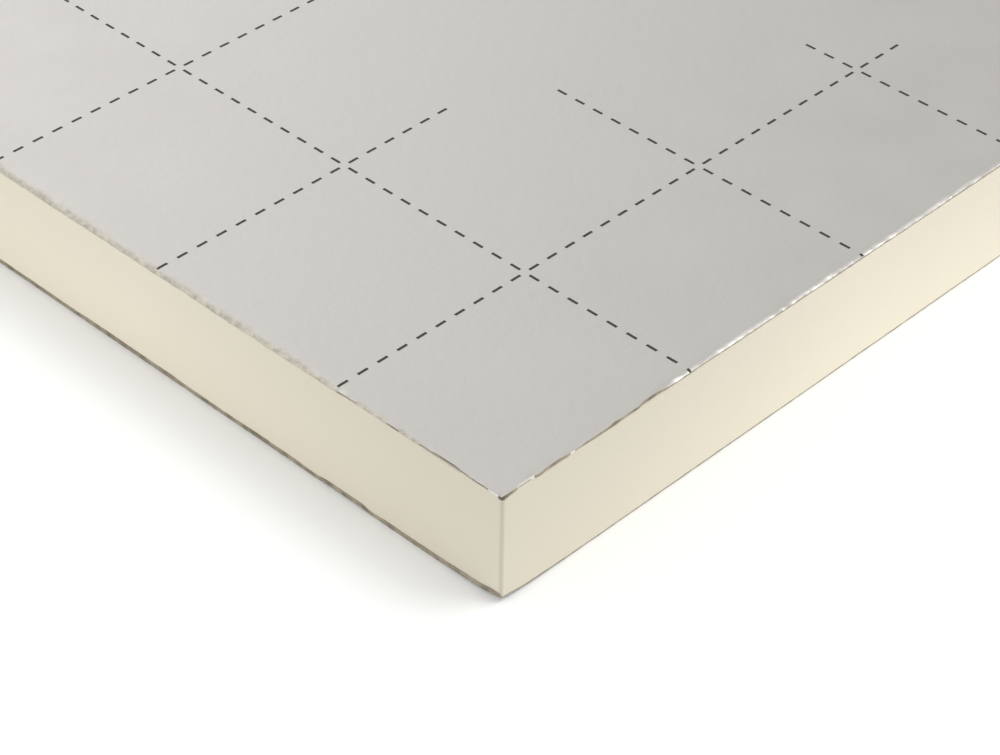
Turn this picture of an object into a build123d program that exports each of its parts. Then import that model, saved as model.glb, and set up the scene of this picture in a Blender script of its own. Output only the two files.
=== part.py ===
from build123d import *
import os
from math import radians, sin

# A rigid polyiso insulation board: a slab of foam with a foil and kraft facer bonded to each face.
# It lies flat. X runs along its length, Y across its width and Z up through its thickness, all in
# millimetres, and the origin is at the middle of its underside.
# The saw that trims the board presses the facers down at the rim, so the last few millimetres of
# each face roll over towards the sawn side, where the facer ends flush with the foam.

# The board as it is sold
board_length = 2400.0
board_width = 1200.0
board_thickness = 50.0

# The laminated sheet on each face
facer_thickness = 0.4

# The rolled rim is an arc that leaves the flat face and meets the sawn side at this slope
rim_radius = 5.0
rim_slope = 38.0

# The upright corners, blunted by the saw and by handling
corner_radius = 1.2

# How far the arc would run on past the sawn side before it turned upright
rim_overrun = rim_radius * (1 - sin(radians(rim_slope)))


def rolled_slab(depth):
    """The laminate before it is sawn, at a depth below its faces, with its rims rolled over.

    A depth of nothing gives the outside of the facers, and the facer's thickness gives the glue
    line. Their arcs have the same centres, so the facer keeps its thickness round the bend.
    """
    length = board_length + 2 * (rim_overrun - depth)
    width = board_width + 2 * (rim_overrun - depth)
    height = board_thickness - 2 * depth
    long_section = Plane.XZ * RectangleRounded(length, height, rim_radius - depth)
    cross_section = Plane.YZ * RectangleRounded(width, height, rim_radius - depth)
    rolled_ends = extrude(long_section, width / 2, both=True)
    rolled_sides = extrude(cross_section, length / 2, both=True)
    return Pos(0, 0, board_thickness / 2) * (rolled_ends & rolled_sides)


def sawn(laminate):
    """The laminate cut to the board's length and width, square to its faces."""
    outline = RectangleRounded(board_length, board_width, corner_radius)
    return laminate & extrude(outline, board_thickness)


def foam_core():
    """The foam between the two glue lines."""
    return sawn(rolled_slab(facer_thickness))


def facers():
    """The bottom facer and the top facer, in that order."""
    skin = rolled_slab(0) - rolled_slab(facer_thickness)
    return sawn(skin).solids().sort_by(Axis.Z)


bottom_facer, top_facer = facers()

os.makedirs("parts", exist_ok=True)
export_step(foam_core(), "parts/foam_core.step")
export_step(bottom_facer, "parts/bottom_facer.step")
export_step(top_facer, "parts/top_facer.step")
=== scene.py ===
from math import asin, ceil, cos, pi, radians, sin, sqrt
from typing import NamedTuple

import bmesh
import bpy
from mathutils import Matrix, Vector


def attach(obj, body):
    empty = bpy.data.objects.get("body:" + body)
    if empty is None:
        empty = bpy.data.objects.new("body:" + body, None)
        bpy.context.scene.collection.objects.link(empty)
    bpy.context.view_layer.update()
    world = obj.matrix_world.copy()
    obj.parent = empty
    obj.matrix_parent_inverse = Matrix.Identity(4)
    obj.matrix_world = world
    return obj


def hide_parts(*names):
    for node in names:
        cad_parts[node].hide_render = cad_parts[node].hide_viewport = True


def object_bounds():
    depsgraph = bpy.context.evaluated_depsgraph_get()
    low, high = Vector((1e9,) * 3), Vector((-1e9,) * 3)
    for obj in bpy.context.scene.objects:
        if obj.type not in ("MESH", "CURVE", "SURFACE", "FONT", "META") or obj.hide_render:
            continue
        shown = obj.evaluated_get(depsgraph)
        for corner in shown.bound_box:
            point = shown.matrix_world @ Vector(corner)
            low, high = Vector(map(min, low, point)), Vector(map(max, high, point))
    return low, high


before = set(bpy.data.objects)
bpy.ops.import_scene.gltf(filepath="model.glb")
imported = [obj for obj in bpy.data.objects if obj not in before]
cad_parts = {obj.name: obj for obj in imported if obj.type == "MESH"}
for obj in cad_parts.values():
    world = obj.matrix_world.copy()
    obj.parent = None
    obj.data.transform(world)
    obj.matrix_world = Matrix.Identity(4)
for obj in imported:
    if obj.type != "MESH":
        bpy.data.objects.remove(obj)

bl_info = {
    "name": "Foil-faced Insulation Board",
    "version": (1, 0, 0),
    "blender": (4, 5, 0),
    "location": "3D View > Sidebar > Board",
    "description": "Models a rigid polyiso insulation board and lights it in a plain studio",
    "category": "Add Mesh",
}

# A millimetre, in Blender's metres
MM = 0.001

# The CAD model's box, and the foot of the corner that the camera looks at
CAD_LOW, CAD_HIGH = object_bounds()
MIDDLE_HEIGHT = (CAD_LOW.z + CAD_HIGH.z) / 2
NEAR_CORNER = Vector((CAD_HIGH.x, CAD_LOW.y, 0))

# The camera, as fitted to the printed grid: where it stands in metres, how it's turned in degrees, and its
# lens in millimetres
CAMERA_PLACE = (1.73084, -1.15529, 0.72564)
CAMERA_AZIMUTH, CAMERA_ELEVATION, CAMERA_ROLL = 43.818, 38.984, 0.839
CAMERA_LENS = 106.378

# The side of the square floor, in metres
FLOOR_SIZE = 60

# The softbox: where it stands and its width, in metres, and its power in watts. It points at the near
# corner from far away, so it lights the whole board alike.
SOFTBOX_PLACE, SOFTBOX_WIDTH, SOFTBOX_POWER = Vector((4.3, 3.2, 7.5)), 4.8, 318

# The broad glows in the soft light all round: the way to the middle of each, how nearly a look must point
# that way to see any of it, as a cosine, and how much its middle adds. They are broad and dim, so the
# foil doesn't glare from any side.
GLOWS = {
    "beyond the far end": ((-0.95, 0.1, 0.3), 0.6, 0.7),
    "right": ((1, 0.2, 0.35), 0.6, 0.35),
    "front": ((-0.13, -0.75, 0.64), 0.8, 0.95),
}

# The flat faces are cut into square tiles inside a border, and the border's outer edge into shorter
# pieces, more of them to a tile within reach of the near corner
TILE, BORDER = 24 * MM, 8 * MM
NEAR_REACH, NEAR_CUTS, FAR_CUTS = 450 * MM, 23, 7

# Steps down the rim's arc on the outside of a facer and at the glue line, and rows down the sawn foam
OUTSIDE_STEPS, GLUE_STEPS, FOAM_ROWS = 6, 3, 14

# How much of the rim's roll each facer has along the long sides and along the cut ends
ROLLS = {"top": {"side": 0.65, "end": 0.47}, "bottom": {"side": 0, "end": 0}}


class Mark(NamedTuple):
    """A mark of the saw or of handling on a rim, all in millimetres.

    It runs from its start to its end along the edge, both from the nearest corner. The facer is pulled
    back there, or pressed up if it's the bottom one, and its kraft is frayed over the foam.
    """
    start: float
    end: float
    pulled: float
    frayed: float


# The end of what runs on to the middle of the board, in millimetres. That is found all round the board,
# apart from pulling, which the far sides don't have. Every other mark is by the near corner only.
ALL_ROUND = round(CAD_HIGH.x / MM)

# How softly a mark comes and goes: over this share of half its length, and no farther than this
FADE_SHARE, LONGEST_FADE = 0.4, 3 * MM

MARKS = {
    "top": {
        "end": (Mark(0, 7, 0.4, 0.5), Mark(0, 2.4, 0.2, 0.9), Mark(8, 17, 0.9, 0.1), Mark(17, 35, 0.2, 0.7),
                Mark(21, 31, 0.4, 0), Mark(37, 50, 0.1, 0.3), Mark(46, 60, 0.1, 0.5),
                Mark(56, 70, 0.5, 0.45), Mark(72, 84, 1.2, 0.35), Mark(84, ALL_ROUND, 0.6, 0)),
        "side": (Mark(0, 3, 0.2, 0.7), Mark(7, 17, 0.2, 0), Mark(17, 42, 0.4, 0), Mark(22, 34, 0.4, 0.1),
                 Mark(42, ALL_ROUND, 0.1, 0.3), Mark(118, 124, 0, 0.2)),
    },
    "bottom": {
        "end": (Mark(0, 40, 0, 0.04), Mark(40, 160, 0, 0.05), Mark(0, ALL_ROUND, 0, 0.05)),
        "side": (Mark(0, ALL_ROUND, 0, 0.4), Mark(0, 62, 0, 0.35), Mark(70, 94, 0.5, 0.2),
                 Mark(106, 140, 0.1, 0.2), Mark(177, 232, 0, 0.4)),
    },
}

# Where the cut edge shows no kraft, from and to in millimetres: torn foil shows there instead, drawn pale
# as a painted highlight where it catches the light, or the foil is smeared down over it
PAINTED_GLINT_STRETCHES = {"end": ((8, 17), (34.5, 37)), "side": ((2.5, 7),)}
SMEARED = {"end": (), "side": ((42, 52), (58, 74), (84, ALL_ROUND))}

# The materials of a facer, in their order after the foil
KRAFT_SLOT, PAINTED_GLINT_SLOT, SMEAR_SLOT = 1, 2, 3

# The bare windows in the print, which are repeated along and across the board. Each is slanted at 45
# degrees to the edges: it is measured sideways from the line that halves the near corner, and away from
# that corner. Its nearer edge has its start on that line and slopes up sideways to a limit.
WINDOW_REPEAT = 600 * MM
WINDOW_LEFT, WINDOW_RIGHT = -60 * MM, 260 * MM
WINDOW_START, WINDOW_SLOPE, WINDOW_LIMIT, WINDOW_END = 248 * MM, 0.33, 293 * MM, 360 * MM

# Nearly all of a noise texture's values lie between these
NOISE_RANGE = {"From Min": 0.35, "From Max": 0.65}


def linear(code):
    """The linear colour of an sRGB hex value, with an alpha of 1."""
    parts = [int(code[start:start + 2], 16) / 255 for start in (0, 2, 4)]
    return [*(c / 12.92 if c <= 0.04045 else ((c + 0.055) / 1.055) ** 2.4 for c in parts), 1.0]


def length(name, description, default):
    """A property that holds a length in metres."""
    return bpy.props.FloatProperty(
        name=name, description=description, default=default, unit="LENGTH", precision=5)


def angle(name, description, default):
    """A property that holds an angle, given here in degrees."""
    return bpy.props.FloatProperty(
        name=name, description=description, default=radians(default), unit="ROTATION")


def share(name, description, default):
    """A property that holds a number from 0 to 1."""
    return bpy.props.FloatProperty(
        name=name, description=description, default=default, min=0, max=1, subtype="FACTOR")


def colour(name, description, code):
    """A property that holds a colour, given here as an sRGB hex value."""
    return bpy.props.FloatVectorProperty(
        name=name, description=description, default=linear(code), size=4, min=0, max=1, subtype="COLOR")


class BoardSizes(bpy.types.PropertyGroup):
    """The sizes of the facers, their rims and the printed grid."""
    facer_thickness: length("Facer thickness", "Foil, kraft and glue together", 0.4 * MM)
    rim_radius: length("Rim radius", "Outer radius of the facer where the saw has rolled it over", 5 * MM)
    rim_slope: angle("Rim slope", "Slope of the facer where it meets the sawn side", 38)
    corner_radius: length("Corner radius", "Blunting of the four upright corners", 1.2 * MM)
    saw_allowance: length("Saw allowance", "How far the sides lie inside the full size", 0.15 * MM)
    cell: length("Grid cell", "Side of one square of the printed grid", 100 * MM)
    dash_pitch: length("Dash pitch", "From one dash to the next", 10 * MM)
    dash_length: length("Dash length", "Length of one dash", 5 * MM)
    dash_width: length("Dash width", "Width of one dash", 1.15 * MM)
    ink_thickness: length("Ink thickness", "How far the ink stands on the foil", 0.06 * MM)
    corner_flat: length("Flat corner", "How far from a corner the rims are hardly rolled", 80 * MM)
    corner_lift: length("Corner lift", "How far the near corner's lower edge has been pressed up", 2.2 * MM)
    end_margin: length("End margin", "From the cut end to the first line across the board", 85 * MM)
    side_margin: length("Side margin", "From the long edge to the first line along the board", 99.3 * MM)

    def rim_reach(self):
        """How far in from the side a full roll starts."""
        return self.rim_radius * sin(self.rim_slope)

    def rim_drop(self):
        """How far a full roll comes down at the side."""
        return self.rim_radius * (1 - cos(self.rim_slope))


class BoardFinish(bpy.types.PropertyGroup):
    """The colours of the board's materials, and how satin its foil is."""
    foil: colour("Foil", "Warm grey of the satin side of the foil", "d9d6d1")
    kraft: colour("Kraft", "Sawn edge of the kraft paper", "958c7c")
    # Painted highlight: the pale colour of torn foil where it catches the light at the cut edge
    painted_glint: colour("Painted glint", "Torn foil at the cut edge, painted highlight", "eae7dd")
    smear: colour("Smear", "Foil with glue and dust smeared over it by the saw", "bfb9aa")
    foam: colour("Foam", "Cream of the sawn foam", "e8e1cf")
    ink: colour("Ink", "Printing ink of the grid", "2a2824")
    foil_roughness: share("Foil roughness", "How satin the foil is", 0.38)


class StudioSettings(bpy.types.PropertyGroup):
    """The floor and the soft light of the studio."""
    floor: colour("Floor", "Plain pale floor", "f9fafa")
    sky: bpy.props.FloatProperty(name="Sky", description="Strength of the light all round", default=0.58)


def half_sizes(inset):
    """Half the length and half the width of a loop at this inset from the sides."""
    allowance = inset + bpy.context.scene.board_sizes.saw_allowance
    return CAD_HIGH.x - allowance, CAD_HIGH.y - allowance


def face_height(face, depth):
    """The height of a place at this depth under the top or the bottom of the board."""
    if face == "top":
        return CAD_HIGH.z - bpy.context.scene.board_sizes.ink_thickness - depth
    return CAD_LOW.z + depth


def rim_arc(depth, face, steps):
    """(inset, height) places down the rolled rim, at this depth below the outside of a facer."""
    sizes = bpy.context.scene.board_sizes
    radius = sizes.rim_radius - depth
    end = asin(sizes.rim_reach() / radius)
    places = []
    for step in range(steps + 1):
        turn = end * step / steps
        drop = sizes.rim_radius - radius * cos(turn)
        places.append((sizes.rim_reach() - radius * sin(turn), face_height(face, drop)))
    return places


def ramp(value, full, none):
    """1 at full, 0 at none, and a smooth slope between."""
    part = min(1, max(0, (value - none) / (full - none)))
    return part * part * (3 - 2 * part)


def inset_of(place):
    """How far a place lies inside the nearest side."""
    return min(CAD_HIGH.x - abs(place.x), CAD_HIGH.y - abs(place.y))


def depth_of(place):
    """How far a place lies under the nearer face of the board."""
    return min(CAD_HIGH.z - place.z, place.z - CAD_LOW.z)


def face_of(place):
    """The face of the board that a place lies nearer to."""
    return "top" if place.z > MIDDLE_HEIGHT else "bottom"


def edge_of(place):
    """The kind of edge that a place lies nearest to, and how far along it is from the nearest corner."""
    end, side = CAD_HIGH.x - abs(place.x), CAD_HIGH.y - abs(place.y)
    return ("end", side) if end < side else ("side", end)


def roll_at(place, face):
    """How much of its full roll the rim has at this place. It comes in where the flat corner ends."""
    edge, along = edge_of(place)
    flat = bpy.context.scene.board_sizes.corner_flat
    return ROLLS[face][edge] * ramp(along, full=1.15 * flat, none=0.95 * flat)


def is_marked_side(place, end):
    """True where a mark or a stretch with this end is found: all round, or by the near corner only."""
    return end == ALL_ROUND or (place.x > 0 and place.y < 0)


def marked(place, face, what):
    """How far a face's rim is pulled or frayed at a place, by all of its marks together."""
    edge, along = edge_of(place)
    on_far_side = place.x < 0 if edge == "end" else place.y > 0
    if on_far_side and what == "pulled":
        return 0
    total = 0
    for mark in MARKS[face][edge]:
        if is_marked_side(place, mark.end):
            middle, half = (mark.start + mark.end) / 2 * MM, (mark.end - mark.start) / 2 * MM
            fade = min(FADE_SHARE * half, LONGEST_FADE)
            strength = ramp(abs(along - middle), full=half - fade, none=half + fade)
            total += getattr(mark, what) * MM * strength
    return total


def select_only(piece):
    """Makes this piece the only one selected, and the active one."""
    bpy.ops.object.select_all(action="DESELECT")
    piece.select_set(True)
    bpy.context.view_layer.objects.active = piece


def select(piece, kind, wanted):
    """In edit mode, selects just the points, edges or faces for which wanted is true."""
    bpy.ops.mesh.select_mode(type=kind)
    bpy.ops.mesh.select_all(action="DESELECT")
    mesh = bmesh.from_edit_mesh(piece.data)
    for part in {"VERT": mesh.verts, "EDGE": mesh.edges, "FACE": mesh.faces}[kind]:
        if wanted(part):
            part.select_set(True)
    bmesh.update_edit_mesh(piece.data)


def modify(piece, kind, **settings):
    """Gives a piece a modifier with these settings, and applies it."""
    select_only(piece)
    bpy.ops.object.modifier_add(type=kind)
    modifier = piece.modifiers[-1]
    for name, value in settings.items():
        setattr(modifier, name, value)
    bpy.ops.object.modifier_apply(modifier=modifier.name)


def weigh(piece, group, weight_of):
    """Fills a vertex group with a weight worked out from each point's place."""
    weights = piece.vertex_groups.new(name=group)
    for vertex in piece.data.vertices:
        weights.add([vertex.index], weight_of(vertex.co), "REPLACE")


def move(piece, group, way, distance, weight_of):
    """Moves the points of a piece one way, by this distance times the weight of their place."""
    weigh(piece, group, weight_of)
    modify(piece, "DISPLACE", vertex_group=group, direction=way, strength=distance, mid_level=0)


def ruffle(piece, group, way, height, lump, middle=0.5, detail=1):
    """Moves a vertex group both ways along an axis, in a cloud of lumps of this height and size."""
    clouds = bpy.data.textures.new(group, "CLOUDS")
    clouds.noise_scale = lump
    clouds.noise_depth = detail
    modify(piece, "DISPLACE", texture=clouds, texture_coords="LOCAL", vertex_group=group, direction=way,
           strength=height, mid_level=middle)


def draw_rings(places):
    """Extrudes the selected loop through (inset, height) places. It is at the first of them."""
    for (inset, height), (next_inset, next_height) in zip(places, places[1:]):
        old, new = half_sizes(inset), half_sizes(next_inset)
        bpy.ops.mesh.extrude_edges_indiv()
        bpy.ops.transform.resize(value=(new[0] / old[0], new[1] / old[1], 1), center_override=(0, 0, height))
        bpy.ops.transform.translate(value=(0, 0, next_height - height))


def flat_field(name, inset, height):
    """A flat face of tiles with a border out to this inset, and its outline cut up and selected."""
    half_length, half_width = half_sizes(inset + BORDER)
    bpy.ops.object.select_all(action="DESELECT")
    bpy.ops.mesh.primitive_grid_add(
        x_subdivisions=round(2 * half_length / TILE), y_subdivisions=round(2 * half_width / TILE), size=2)
    piece = bpy.context.object
    piece.name = piece.data.name = name
    bpy.ops.object.mode_set(mode="EDIT")
    bpy.ops.mesh.select_all(action="SELECT")
    bpy.ops.transform.resize(value=(half_length, half_width, 1), center_override=(0, 0, 0))
    bpy.ops.transform.translate(value=(0, 0, height))
    select(piece, "VERT", lambda vertex: len(vertex.link_faces) == 1)
    bpy.ops.mesh.bevel(offset=bpy.context.scene.board_sizes.corner_radius, segments=3, affect="VERTICES")
    select(piece, "EDGE", lambda edge: edge.is_boundary)
    draw_rings([(inset + BORDER, height), (inset, height)])
    cut_outline(piece, height)
    select(piece, "EDGE", lambda edge: edge.is_boundary)
    return piece


def cut_outline(piece, height):
    """Cuts the tiles' edges along the outline, more finely within reach of the near corner."""
    corner = Vector((CAD_HIGH.x, CAD_LOW.y, height))

    def distance(edge):
        return ((edge.verts[0].co + edge.verts[1].co) / 2 - corner).length

    def is_uncut(edge):
        return edge.is_boundary and edge.calc_length() > TILE / 2

    select(piece, "EDGE", lambda edge: is_uncut(edge) and distance(edge) < NEAR_REACH)
    bpy.ops.mesh.subdivide(number_cuts=NEAR_CUTS)
    select(piece, "EDGE", lambda edge: is_uncut(edge) and distance(edge) >= NEAR_REACH)
    bpy.ops.mesh.subdivide(number_cuts=FAR_CUTS)


def close_piece(piece):
    """Fills the selected loop, turns every face outwards, leaves edit mode and smooths the bends."""
    sharp_from = radians(30)
    bpy.ops.mesh.edge_face_add()
    bpy.ops.mesh.select_all(action="SELECT")
    bpy.ops.mesh.normals_make_consistent(inside=False)
    bpy.ops.object.mode_set(mode="OBJECT")
    select_only(piece)
    bpy.ops.object.shade_smooth_by_angle(angle=sharp_from)


def unroll(piece, face):
    """Turns a face's rolled rim back up by the share of its roll that it lacks."""
    sizes = bpy.context.scene.board_sizes
    reach, drop = sizes.rim_reach(), sizes.rim_drop()

    def weight_of(place):
        if depth_of(place) > drop + 2 * sizes.facer_thickness or face_of(place) != face:
            return 0
        over = max(0, reach - inset_of(place) + sizes.saw_allowance)
        dropped = (sizes.rim_radius - sqrt(sizes.rim_radius ** 2 - over ** 2)) / drop
        return (1 - roll_at(place, face)) * min(1, dropped)
    move(piece, "flat_" + face, "Z", drop if face == "top" else -drop, weight_of)


def roughen_rims(piece):
    """The saw leaves the rims uneven: slow waves, and a ragged lip where they are rolled."""
    calmest = 0.4

    def weight_of(place):
        strength = calmest + (1 - calmest) * roll_at(place, face_of(place))
        on_rim = ramp(inset_of(place), full=0.3 * MM, none=3.2 * MM)
        return strength * on_rim * ramp(depth_of(place), full=2 * MM, none=8 * MM)
    weigh(piece, "rims", weight_of)
    ruffle(piece, "rims", "Z", height=0.6 * MM, lump=26 * MM)
    ruffle(piece, "rims", "Z", height=0.7 * MM, lump=4 * MM, detail=2)
    ruffle(piece, "rims", "Z", height=0.5 * MM, lump=1.8 * MM)
    ruffle(piece, "rims", "X", height=0.3 * MM, lump=9 * MM)
    ruffle(piece, "rims", "Y", height=0.3 * MM, lump=11 * MM)


def crush_foam(piece):
    """The foam's top arris is crushed where the facer is pulled back from it or frayed over it."""
    deepest, depth_per_pull = 1.5 * MM, 0.7

    def weight_of(place):
        on_arris = ramp(inset_of(place), full=0.3 * MM, none=5 * MM)
        on_arris *= ramp(CAD_HIGH.z - place.z, full=1.7 * MM, none=4 * MM)
        depth = depth_per_pull * marked(place, "top", "pulled") + marked(place, "top", "frayed")
        return min(1, depth / deepest) * on_arris
    move(piece, "crushed", "Z", -deepest, weight_of)


def press_corner(piece):
    """The lower edge is pressed up at the near corner, most of all at its tip, and at a few marks."""
    lift = bpy.context.scene.board_sizes.corner_lift

    def weight_of(place):
        away = (place.xy - NEAR_CORNER.xy).length
        broad, at_tip = ramp(away, full=0, none=45 * MM), ramp(away, full=0, none=14 * MM)
        at_mark = marked(place, "bottom", "pulled") / lift * ramp(inset_of(place), full=1 * MM, none=6 * MM)
        return min(1, (broad + at_tip) / 2 + at_mark) * ramp(place.z, full=2 * MM, none=25 * MM)
    move(piece, "pressed", "Z", lift, weight_of)


def flatten(piece):
    """Flattens what stands above the board's top or under its bottom."""
    top, bottom = face_height("top", 0), face_height("bottom", 0)
    select_only(piece)
    bpy.ops.object.mode_set(mode="EDIT")
    select(piece, "VERT", lambda vertex: vertex.co.z > top)
    bpy.ops.transform.resize(value=(1, 1, 0), center_override=(0, 0, top))
    select(piece, "VERT", lambda vertex: vertex.co.z < bottom)
    bpy.ops.transform.resize(value=(1, 1, 0), center_override=(0, 0, bottom))
    bpy.ops.object.mode_set(mode="OBJECT")


def finish_piece(piece, materials, slot, *nodes):
    """Gives a piece its materials, its body and the nodes that it stands for."""
    for material in materials:
        piece.data.materials.append(material)
    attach(piece, "root")
    if nodes:
        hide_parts(*nodes)


def add(tree, kind, settings=None, values=None, links=None):
    """Adds a node, sets its settings and its sockets' values, and links its sockets to these outputs."""
    node = tree.nodes.new(kind)
    for name, value in (settings or {}).items():
        setattr(node, name, value)
    for socket, value in (values or {}).items():
        node.inputs[socket].default_value = value
    for socket, output in (links or {}).items():
        tree.links.new(output, node.inputs[socket])
    return node


def new_material(name):
    """An empty material and its node tree."""
    material = bpy.data.materials.new(name)
    material.use_nodes = True
    material.node_tree.nodes.clear()
    return material, material.node_tree


def foil_material(is_smeared):
    """Aluminium foil, rolled and bonded to kraft paper. The paper's crinkle mottles its satin sheen.

    Where the saw has smeared it with glue and dust it's scratched dull towards the side, and speckled.
    """
    crinkle_size, crinkle_depth = 4 * MM, 0.11 * MM
    blotch_size, blotch_change = 45 * MM, 0.04
    finish = bpy.context.scene.board_finish
    name = "aluminium foil, smeared by the saw" if is_smeared else "aluminium foil, rolled satin"
    material, tree = new_material(name)
    place = add(tree, "ShaderNodeTexCoord").outputs["Object"]
    crinkle = add(tree, "ShaderNodeTexNoise",
                  values={"Scale": 1 / crinkle_size, "Detail": 4, "Roughness": 0.6},
                  links={"Vector": place})
    blotch = add(tree, "ShaderNodeTexNoise",
                 values={"Scale": 1 / blotch_size, "Detail": 3}, links={"Vector": place})
    rough = add(tree, "ShaderNodeMapRange",
                values={"From Min": 0.3, "From Max": 0.7, "To Min": finish.foil_roughness - blotch_change,
                        "To Max": finish.foil_roughness + blotch_change},
                links={"Value": blotch.outputs[0]})
    bump = add(tree, "ShaderNodeBump",
               values={"Strength": 1, "Distance": crinkle_depth}, links={"Height": crinkle.outputs[0]})
    shader = add(tree, "ShaderNodeBsdfPrincipled", values={"Base Color": finish.foil, "Metallic": 1},
                 links={"Roughness": rough.outputs[0], "Normal": bump.outputs[0]})
    if is_smeared:
        smear(tree, shader, place)
    add(tree, "ShaderNodeOutputMaterial", links={"Surface": shader.outputs[0]})
    return material


def smear(tree, shader, place):
    """Dulls the foil's shader in a ragged band at the long side, which is wider away from the corner."""
    finish = bpy.context.scene.board_finish
    speck_size, patch_size = 2.5 * MM, 10 * MM
    least, most, off_side, metal_left = 2.2 * MM, 4.4 * MM, 0.2 * MM, 0.3
    narrow_to, narrower, wide_from, wider = 40 * MM, 0.8 * MM, 220 * MM, 0.7 * MM
    specks = add(tree, "ShaderNodeTexNoise",
                 values={"Scale": 1 / speck_size, "Detail": 3}, links={"Vector": place})
    tint = add(tree, "ShaderNodeMapRange",
               values={**NOISE_RANGE, "To Min": 0.78, "To Max": 1.15}, links={"Value": specks.outputs[0]})
    dull = add(tree, "ShaderNodeVectorMath", {"operation": "SCALE"},
               values={0: finish.smear[:3]}, links={"Scale": tint.outputs[0]})
    parts = add(tree, "ShaderNodeSeparateXYZ", links={0: place}).outputs
    across = add(tree, "ShaderNodeMath", {"operation": "ABSOLUTE"}, links={0: parts["Y"]})
    patches = add(tree, "ShaderNodeTexNoise",
                  values={"Scale": 1 / patch_size, "Detail": 3}, links={"Vector": place})
    outer = add(tree, "ShaderNodeMapRange",
                values={"From Min": CAD_HIGH.x - narrow_to, "From Max": CAD_HIGH.x - wide_from,
                        "To Min": CAD_HIGH.y + narrower, "To Max": CAD_HIGH.y - wider},
                links={"Value": parts["X"]})
    uneven = add(tree, "ShaderNodeMapRange",
                 values={**NOISE_RANGE, "To Min": least, "To Max": most},
                 links={"Value": patches.outputs[0]})
    start = add(tree, "ShaderNodeMath", {"operation": "SUBTRACT"},
                links={0: outer.outputs[0], 1: uneven.outputs[0]})
    amount = add(tree, "ShaderNodeMapRange", {"interpolation_type": "SMOOTHSTEP"},
                 values={"From Max": CAD_HIGH.y - off_side},
                 links={"Value": across.outputs[0], "From Min": start.outputs[0]})
    # The Mix node's colours are its inputs 6 and 7 and its output 2
    mixed = add(tree, "ShaderNodeMix", {"data_type": "RGBA"},
                values={6: finish.foil}, links={0: amount.outputs[0], 7: dull.outputs[0]})
    metal = add(tree, "ShaderNodeMath", {"operation": "MULTIPLY_ADD"},
                values={1: metal_left - 1, 2: 1}, links={0: amount.outputs[0]})
    tree.links.new(mixed.outputs[2], shader.inputs["Base Color"])
    tree.links.new(metal.outputs[0], shader.inputs["Metallic"])


def kraft_material():
    """Kraft paper, sawn through. The fibres are brown and soak up the light.

    It is darker at the tip of the near corner.
    """
    fibre_size, tip_darkening_size = 6 * MM, 6 * MM
    tip = (CAD_HIGH.x, CAD_LOW.y, CAD_HIGH.z)
    material, tree = new_material("kraft paper, sawn")
    place = add(tree, "ShaderNodeTexCoord").outputs["Object"]
    fibres = add(tree, "ShaderNodeTexNoise",
                 values={"Scale": 1 / fibre_size, "Detail": 3}, links={"Vector": place})
    tint = add(tree, "ShaderNodeMapRange",
               values={**NOISE_RANGE, "To Min": 0.75, "To Max": 1.5}, links={"Value": fibres.outputs[0]})
    away = add(tree, "ShaderNodeVectorMath", {"operation": "DISTANCE"}, values={1: tip}, links={0: place})
    # Darker towards the tip of the near corner
    darker_at_tip = add(tree, "ShaderNodeMapRange",
                  values={"From Min": tip_darkening_size / 3, "From Max": tip_darkening_size, "To Min": 0.4},
                  links={"Value": away.outputs["Value"]})
    total = add(tree, "ShaderNodeMath", {"operation": "MULTIPLY"},
                links={0: tint.outputs[0], 1: darker_at_tip.outputs[0]})
    mixed = add(tree, "ShaderNodeVectorMath", {"operation": "SCALE"},
                values={0: bpy.context.scene.board_finish.kraft[:3]}, links={"Scale": total.outputs[0]})
    shader = add(tree, "ShaderNodeBsdfPrincipled", values={"Roughness": 0.9, "Specular IOR Level": 0.2},
                 links={"Base Color": mixed.outputs[0]})
    add(tree, "ShaderNodeOutputMaterial", links={"Surface": shader.outputs[0]})
    return material


def painted_glint_material():
    """Torn foil at the cut edge, drawn as a pale painted highlight where it catches the light."""
    material, tree = new_material("torn foil, painted highlight")
    shader = add(tree, "ShaderNodeBsdfPrincipled",
                 values={"Base Color": bpy.context.scene.board_finish.painted_glint, "Roughness": 0.5})
    add(tree, "ShaderNodeOutputMaterial", links={"Surface": shader.outputs[0]})
    return material


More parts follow.
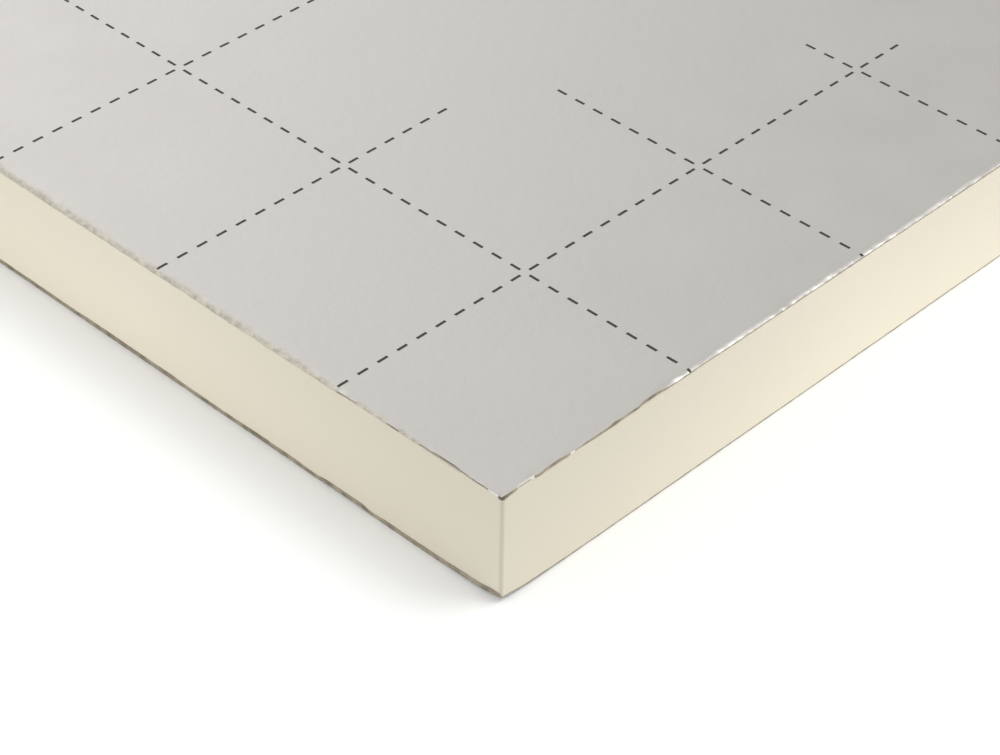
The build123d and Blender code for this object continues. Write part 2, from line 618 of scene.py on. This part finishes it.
def foam_material():
    """Polyiso foam, sawn. Its cells are too fine to tell apart, so it looks matt and even.

    They are drawn coarser than they are, so that they show a little. Shade is painted on the foam towards
    the near corner, and it is rubbed darker most of all along the corner's own upright edge. Painted light
    makes it lighter towards the bottom, against the shade that falls low down by the floor.
    """
    cell_size, cell_depth = 1.2 * MM, 0.05 * MM
    corner_shade_reach, rubbed_to, rubbed_out = 200 * MM, 0.6 * MM, 1.7 * MM
    material, tree = new_material("polyiso foam, sawn")
    place = add(tree, "ShaderNodeTexCoord").outputs["Object"]
    cells = add(tree, "ShaderNodeTexNoise",
                values={"Scale": 1 / cell_size, "Detail": 4, "Roughness": 0.7}, links={"Vector": place})
    bump = add(tree, "ShaderNodeBump",
               values={"Strength": 1, "Distance": cell_depth}, links={"Height": cells.outputs[0]})
    away = add(tree, "ShaderNodeVectorMath", {"operation": "DISTANCE"},
               values={1: NEAR_CORNER}, links={0: place})
    # Painted shade: darker towards the near corner, where less light falls on the foam
    painted_corner_shade = add(tree, "ShaderNodeMapRange",
                 values={"From Max": corner_shade_reach, "To Min": 0.84, "To Max": 1.03},
                 links={"Value": away.outputs["Value"]})
    plan = add(tree, "ShaderNodeVectorMath", {"operation": "MULTIPLY"},
               values={1: (1, 1, 0)}, links={0: place})
    off_edge = add(tree, "ShaderNodeVectorMath", {"operation": "DISTANCE"},
                   values={1: NEAR_CORNER}, links={0: plan.outputs[0]})
    rubbed = add(tree, "ShaderNodeMapRange",
                 values={"From Min": rubbed_to, "From Max": rubbed_out, "To Min": 0.81},
                 links={"Value": off_edge.outputs["Value"]})
    height = add(tree, "ShaderNodeSeparateXYZ", links={0: place}).outputs["Z"]
    # Painted light: lighter towards the bottom, against the shade that falls low down by the floor
    painted_light_low = add(tree, "ShaderNodeMapRange",
                values={"From Max": CAD_HIGH.z, "To Min": 1.07, "To Max": 0.95}, links={"Value": height})
    corner_shade_and_rub = add(tree, "ShaderNodeMath", {"operation": "MULTIPLY"},
               links={0: painted_corner_shade.outputs[0], 1: rubbed.outputs[0]})
    # The painted shade and light, with the rubbing along the upright edge
    painted_light_and_rub = add(tree, "ShaderNodeMath", {"operation": "MULTIPLY"},
                  links={0: corner_shade_and_rub.outputs[0], 1: painted_light_low.outputs[0]})
    mixed = add(tree, "ShaderNodeVectorMath", {"operation": "SCALE"},
                values={0: bpy.context.scene.board_finish.foam[:3]}, links={"Scale": painted_light_and_rub.outputs[0]})
    shader = add(tree, "ShaderNodeBsdfPrincipled", values={"Roughness": 0.95, "Specular IOR Level": 0.15},
                 links={"Base Color": mixed.outputs[0], "Normal": bump.outputs[0]})
    add(tree, "ShaderNodeOutputMaterial", links={"Surface": shader.outputs[0]})
    return material


def ink_material():
    """Flexographic ink, printed on foil. It dries matt and dark grey."""
    material, tree = new_material("flexographic ink, printed")
    shader = add(tree, "ShaderNodeBsdfPrincipled",
                 values={"Base Color": bpy.context.scene.board_finish.ink, "Roughness": 0.55})
    add(tree, "ShaderNodeOutputMaterial", links={"Surface": shader.outputs[0]})
    return material


def floor_material():
    """Vinyl backdrop, calendered matt. It gives an even, near-white ground with no sheen."""
    material, tree = new_material("vinyl backdrop, matt")
    shader = add(tree, "ShaderNodeBsdfPrincipled",
                 values={"Base Color": bpy.context.scene.studio.floor, "Roughness": 0.9,
                         "Specular IOR Level": 0.1})
    add(tree, "ShaderNodeOutputMaterial", links={"Surface": shader.outputs[0]})
    return material


class BOARD_OT_foam_core(bpy.types.Operator):
    """Models the foam slab between the facers' glue lines"""
    bl_idname = "board.foam_core"
    bl_label = "Foam Core"

    def execute(self, context):
        sizes = context.scene.board_sizes
        top_rim = rim_arc(sizes.facer_thickness, "top", GLUE_STEPS)
        bottom_rim = rim_arc(sizes.facer_thickness, "bottom", GLUE_STEPS)
        top, bottom = top_rim[-1][1], bottom_rim[-1][1]
        side = [(0, top + (bottom - top) * row / FOAM_ROWS) for row in range(1, FOAM_ROWS)]
        piece = flat_field("sawn_foam", *top_rim[0])
        draw_rings(top_rim + side + bottom_rim[::-1])
        close_piece(piece)
        unroll(piece, "top")
        unroll(piece, "bottom")
        crush_foam(piece)
        roughen_rims(piece)
        press_corner(piece)
        flatten(piece)
        finish_piece(piece, [foam_material()], "foam", "foam_core")
        return {"FINISHED"}


class BOARD_OT_facers(bpy.types.Operator):
    """Models the two facers, with their rolled rims and sawn edges"""
    bl_idname = "board.facers"
    bl_label = "Facers"

    def execute(self, context):
        sizes = context.scene.board_sizes
        materials = foil_material(False), kraft_material(), painted_glint_material(), foil_material(True)
        for face, node in (("top", "top_facer"), ("bottom", "bottom_facer")):
            outside = rim_arc(0, face, OUTSIDE_STEPS)
            inside = rim_arc(sizes.facer_thickness, face, GLUE_STEPS)
            piece = flat_field(face + "_foil", *outside[0])
            draw_rings(outside + inside[::-1])
            close_piece(piece)
            finish_piece(piece, materials, "foil_facer", node)
            self.dress_cut_edge(piece, face)
            self.fray(piece, face, sizes)
            unroll(piece, face)
            if face == "top":
                self.dent_flat(piece)
                self.pull_back(piece, "end", "X", -1)
                self.pull_back(piece, "side", "Y", 1)
            roughen_rims(piece)
            if face == "bottom":
                press_corner(piece)
            flatten(piece)
        return {"FINISHED"}

    def dress_cut_edge(self, piece, face):
        """Gives the sawn edge its kraft, and on the top facer its painted highlights of torn foil and its
        smeared foil.
        """
        uprightness, smear_reach = 0.1, 11.5 * MM
        for polygon in piece.data.polygons:
            place, slope = polygon.center, polygon.normal.z
            edge, along = edge_of(place)
            is_cut = abs(slope) < uprightness
            if is_cut:
                polygon.material_index = KRAFT_SLOT
            if face == "bottom":
                continue
            # Painted highlight where torn foil catches the light
            if is_cut and self.is_in(place, along, PAINTED_GLINT_STRETCHES[edge]):
                polygon.material_index = PAINTED_GLINT_SLOT
            by_side = is_cut or (slope > 0 and inset_of(place) < smear_reach)
            if by_side and self.is_in(place, along, SMEARED[edge]):
                polygon.material_index = SMEAR_SLOT

    def is_in(self, place, along, stretches):
        """True where this place on a rim lies in one of these stretches."""
        return any(start * MM < along < end * MM and is_marked_side(place, end) for start, end in stretches)

    def fray(self, piece, face, sizes):
        """Drags the kraft's lower edge over the foam, and a little out from it.

        It stands fully proud of the foam from a third of the longest fray on.
        """
        longest, proudest = 1.4 * MM, 0.2 * MM
        glue_line = sizes.facer_thickness + sizes.rim_drop()

        def weight_of(place):
            if inset_of(place) > 1 * MM or depth_of(place) < glue_line:
                return 0
            return min(1, marked(place, face, "frayed") / longest)
        move(piece, "frayed", "Z", -longest if face == "top" else longest, weight_of)
        move(piece, "proud", "NORMAL", proudest, lambda place: min(1, 3 * weight_of(place)))
        ruffle(piece, "frayed", "Z", height=0.7 * MM, lump=3 * MM, detail=2)
        ruffle(piece, "frayed", "Z", height=0.5 * MM, lump=22 * MM)

    def dent_flat(self, piece):
        """Gives the flat of the top facer broad, shallow hollows, and nothing that stands up."""
        weigh(piece, "field", lambda place: ramp(inset_of(place), full=9 * MM, none=3.5 * MM))
        ruffle(piece, "field", "Z", height=0.15 * MM, lump=60 * MM, middle=1)

    def pull_back(self, piece, edge, axis, inwards):
        """Pulls the top facer back from the near end or the near side where it's torn."""
        farthest = 1.5 * MM

        def weight_of(place):
            if edge_of(place)[0] != edge:
                return 0
            on_rim = ramp(inset_of(place), full=0.3 * MM, none=7 * MM)
            return min(1, marked(place, "top", "pulled") / farthest) * on_rim
        move(piece, "pulled_" + edge, axis, inwards * farthest, weight_of)


class BOARD_OT_grid_print(bpy.types.Operator):
    """Prints the dashed cutting grid on the top facer"""
    bl_idname = "board.grid_print"
    bl_label = "Grid Print"

    def execute(self, context):
        sizes = context.scene.board_sizes
        piece = self.lines(0, 1, sizes)
        across = self.lines(1, 0, sizes)
        select_only(piece)
        across.select_set(True)
        bpy.ops.object.join()
        piece.name = piece.data.name = "grid_print"
        self.trim(piece)
        self.lay(piece, sizes)
        finish_piece(piece, [ink_material()], "grid_ink")
        return {"FINISHED"}

    def lines(self, run, spread, sizes):
        """All the dashed lines that run along one axis, spread along the other, where 0 is X and 1 is Y.

        They start outside the near corner and go inwards, with each crossing in the middle of a gap.
        """
        corner, inwards, lengths = (CAD_HIGH.x, CAD_LOW.y), (-1, 1), (2 * CAD_HIGH.x, 2 * CAD_HIGH.y)
        margins = sizes.end_margin, sizes.side_margin
        outside = (ceil(margins[run] / sizes.dash_pitch) + 0.5) * sizes.dash_pitch
        size, place, next_dash, next_line = [1, 1, 1], [0, 0, CAD_HIGH.z + sizes.cell], [0, 0, 0], [0, 0, 0]
        size[run], size[spread] = sizes.dash_length, sizes.dash_width
        place[run] = corner[run] + inwards[run] * (margins[run] - outside)
        place[spread] = corner[spread] + inwards[spread] * margins[spread]
        next_dash[run] = inwards[run] * sizes.dash_pitch
        next_line[spread] = inwards[spread] * sizes.cell
        bpy.ops.object.select_all(action="DESELECT")
        bpy.ops.mesh.primitive_plane_add(size=1)
        piece = bpy.context.object
        bpy.ops.object.mode_set(mode="EDIT")
        bpy.ops.mesh.select_all(action="SELECT")
        bpy.ops.transform.resize(value=size, center_override=(0, 0, 0))
        bpy.ops.transform.translate(value=place)
        bpy.ops.object.mode_set(mode="OBJECT")
        # Two dashes more than fit, so that a line runs out over both sides, and no line on the far rim
        self.repeat(piece, next_dash, round(lengths[run] / sizes.dash_pitch) + 2)
        room = lengths[spread] - margins[spread] - sizes.rim_radius
        self.repeat(piece, next_line, int(room / sizes.cell) + 1)
        return piece

    def repeat(self, piece, step, count):
        """Repeats a piece by this step."""
        modify(piece, "ARRAY", use_relative_offset=False, use_constant_offset=True,
               constant_offset_displace=step, count=count)

    def trim(self, piece):
        """Ends the lines at the sawn sides, clears the bare windows, and cuts up what lies on the rims."""
        line_inset, rims, cuts = 0.2 * MM, 7 * MM, 5
        half_length, half_width = half_sizes(line_inset)
        select_only(piece)
        bpy.ops.object.mode_set(mode="EDIT")
        for x, y in ((1, 0), (-1, 0), (0, 1), (0, -1)):
            bpy.ops.mesh.select_all(action="SELECT")
            bpy.ops.mesh.bisect(
                plane_co=(x * half_length, y * half_width, 0), plane_no=(x, y, 0), clear_outer=True)
        select(piece, "FACE", lambda face: self.is_bare(face.calc_center_median()))
        bpy.ops.mesh.delete(type="FACE")
        select(piece, "FACE", lambda face: inset_of(face.calc_center_median()) < rims)
        bpy.ops.mesh.subdivide(number_cuts=cuts)
        bpy.ops.object.mode_set(mode="OBJECT")

    def is_bare(self, place):
        """True in the print's bare windows, which are repeated along and across the board."""
        across, along = (place.y - CAD_LOW.y) % WINDOW_REPEAT, (CAD_HIGH.x - place.x) % WINDOW_REPEAT
        sideways, away = (across - along) / sqrt(2), (across + along) / sqrt(2)
        nearest = min(WINDOW_LIMIT, WINDOW_START + WINDOW_SLOPE * sideways)
        return WINDOW_LEFT < sideways < WINDOW_RIGHT and nearest < away < WINDOW_END

    def lay(self, piece, sizes):
        """Lays the dashes on the foil, down over the rims, and gives the ink its thickness."""
        modify(piece, "SHRINKWRAP", target=bpy.data.objects["top_foil"], wrap_method="PROJECT",
               use_project_z=True, use_negative_direction=True, use_positive_direction=False)
        bpy.ops.object.mode_set(mode="EDIT")
        select(piece, "FACE", lambda face: any(vertex.co.z > CAD_HIGH.z for vertex in face.verts))
        bpy.ops.mesh.delete(type="FACE")
        bpy.ops.object.mode_set(mode="OBJECT")
        modify(piece, "SOLIDIFY", thickness=sizes.ink_thickness, offset=1)


class BOARD_OT_stage(bpy.types.Operator):
    """Sets the floor, the lights and the camera"""
    bl_idname = "board.stage"
    bl_label = "Stage"

    def execute(self, context):
        self.floor()
        self.soft_light(context.scene)
        self.softbox()
        self.camera(context.scene)
        return {"FINISHED"}

    def floor(self):
        """A plain floor that runs on past every view."""
        bpy.ops.object.select_all(action="DESELECT")
        bpy.ops.mesh.primitive_plane_add(size=FLOOR_SIZE)
        floor = bpy.context.object
        floor.name = "studio_floor"
        floor.data.materials.append(floor_material())

    def soft_light(self, scene):
        """The soft light from all round, with its broad glows."""
        world = bpy.data.worlds.new("soft studio")
        world.use_nodes = True
        tree = world.node_tree
        tree.nodes.clear()
        way_out = add(tree, "ShaderNodeTexCoord").outputs["Generated"]
        total = add(tree, "ShaderNodeValue").outputs[0]
        total.default_value = scene.studio.sky
        for way, least, most in GLOWS.values():
            facing = add(tree, "ShaderNodeVectorMath", {"operation": "DOT_PRODUCT"},
                         values={1: Vector(way).normalized()}, links={0: way_out})
            glow = add(tree, "ShaderNodeMapRange", {"interpolation_type": "SMOOTHSTEP"},
                       values={"From Min": least, "To Max": most}, links={"Value": facing.outputs["Value"]})
            total = add(tree, "ShaderNodeMath", {"operation": "ADD"},
                        links={0: total, 1: glow.outputs[0]}).outputs[0]
        shade = add(tree, "ShaderNodeBackground", values={"Color": (1, 1, 1, 1)}, links={"Strength": total})
        add(tree, "ShaderNodeOutputWorld", links={"Surface": shade.outputs[0]})
        scene.world = world

    def softbox(self):
        """The one lamp, whose light gives the board its shadow."""
        turn = (SOFTBOX_PLACE - NEAR_CORNER).to_track_quat("Z", "Y").to_euler()
        bpy.ops.object.light_add(type="AREA", location=SOFTBOX_PLACE, rotation=turn)
        light = bpy.context.object
        light.name = "softbox"
        light.visible_camera = False
        light.data.shape = "SQUARE"
        light.data.size = SOFTBOX_WIDTH
        light.data.energy = SOFTBOX_POWER

    def camera(self, scene):
        """The photograph's view, and plain colours."""
        turn = (Matrix.Rotation(radians(CAMERA_AZIMUTH), 4, "Z")
                @ Matrix.Rotation(pi / 2 - radians(CAMERA_ELEVATION), 4, "X")
                @ Matrix.Rotation(radians(CAMERA_ROLL), 4, "Z"))
        bpy.ops.object.camera_add(location=CAMERA_PLACE, rotation=turn.to_euler())
        camera = bpy.context.object
        camera.name = "photo_camera"
        camera.data.lens = CAMERA_LENS
        scene.camera = camera
        scene.view_settings.view_transform = "Standard"


class BOARD_PT_panel(bpy.types.Panel):
    """Lists the steps of the board"""
    bl_label = "Insulation Board"
    bl_space_type = "VIEW_3D"
    bl_region_type = "UI"
    bl_category = "Board"

    def draw(self, context):
        for step in STEPS:
            self.layout.operator(step.bl_idname)


STEPS = (BOARD_OT_foam_core, BOARD_OT_facers, BOARD_OT_grid_print, BOARD_OT_stage)
GROUPS = {"board_sizes": BoardSizes, "board_finish": BoardFinish, "studio": StudioSettings}


def register():
    for group in (*GROUPS.values(), *STEPS, BOARD_PT_panel):
        bpy.utils.register_class(group)
    for name, group in GROUPS.items():
        setattr(bpy.types.Scene, name, bpy.props.PointerProperty(type=group))


def unregister():
    for name in GROUPS:
        delattr(bpy.types.Scene, name)
    for group in (BOARD_PT_panel, *reversed(STEPS), *reversed(GROUPS.values())):
        bpy.utils.unregister_class(group)


def main():
    register()
    bpy.ops.board.foam_core()
    bpy.ops.board.facers()
    bpy.ops.board.grid_print()
    bpy.ops.board.stage()


if __name__ == "__main__":
    main()
